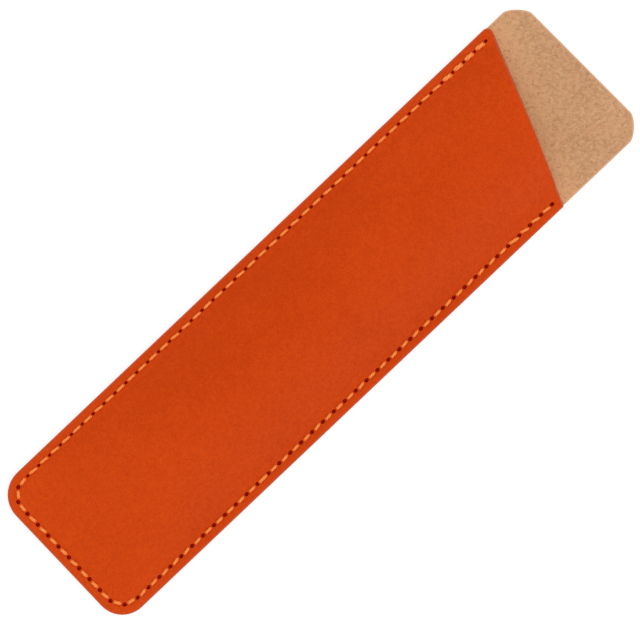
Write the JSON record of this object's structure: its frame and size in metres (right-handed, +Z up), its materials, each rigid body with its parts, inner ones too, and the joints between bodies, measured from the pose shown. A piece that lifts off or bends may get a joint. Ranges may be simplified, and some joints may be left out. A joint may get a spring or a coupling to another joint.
{
  "type": "single pen sleeve",
  "caption": "Flat leather sleeve for one pen: an arched front panel with a slanted mouth, sewn along its sides and base to a longer back panel.",
  "frame": {"origin": "the middle of the back face, which the sleeve lies on", "axes": "+X across the sleeve, to the low end of the mouth; +Y along it, out of the mouth; +Z up, away from the back face"},
  "size_m": [0.0406, 0.16, 0.0084],
  "materials": {
    "tan_leather": "matte suede flesh side",
    "orange_leather": "smooth, low gloss, fine grain",
    "thread": "waxed twisted thread"
  },
  "bodies": {
    "root": {"back_panel": "tan_leather", "front_panel": "orange_leather", "needle_thread": "thread", "bobbin_thread": "thread"}
  },
  "joints": []
}
